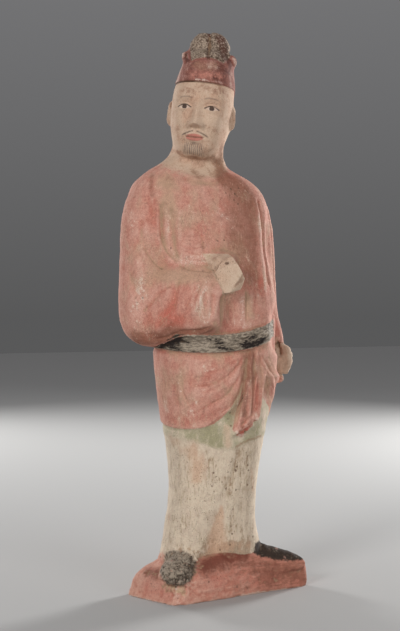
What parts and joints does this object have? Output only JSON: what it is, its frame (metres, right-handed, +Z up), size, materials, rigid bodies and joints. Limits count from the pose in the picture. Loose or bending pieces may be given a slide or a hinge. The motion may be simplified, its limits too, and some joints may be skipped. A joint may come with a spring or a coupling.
{
  "type": "tang tomb attendant figure",
  "caption": "Standing painted earthenware attendant in a belted robe and lobed cap, one fist at the chest, on a low hand-cut plinth moulded with it.",
  "frame": {"origin": "middle of the plinth's flat underside", "axes": "+Z up, -Y the way the plinth's long front faces, -X the figure's right hand side, the hand held at the chest"},
  "size_m": [0.2036, 0.1396, 0.6],
  "materials": {
    "painted_earthenware": "low-fired earthenware, dry and matt, with worn cold-painted salmon red, cream, grey-green and black, and burial dirt"
  },
  "bodies": {
    "root": {"attendant_figure": "painted_earthenware"}
  },
  "joints": []
}
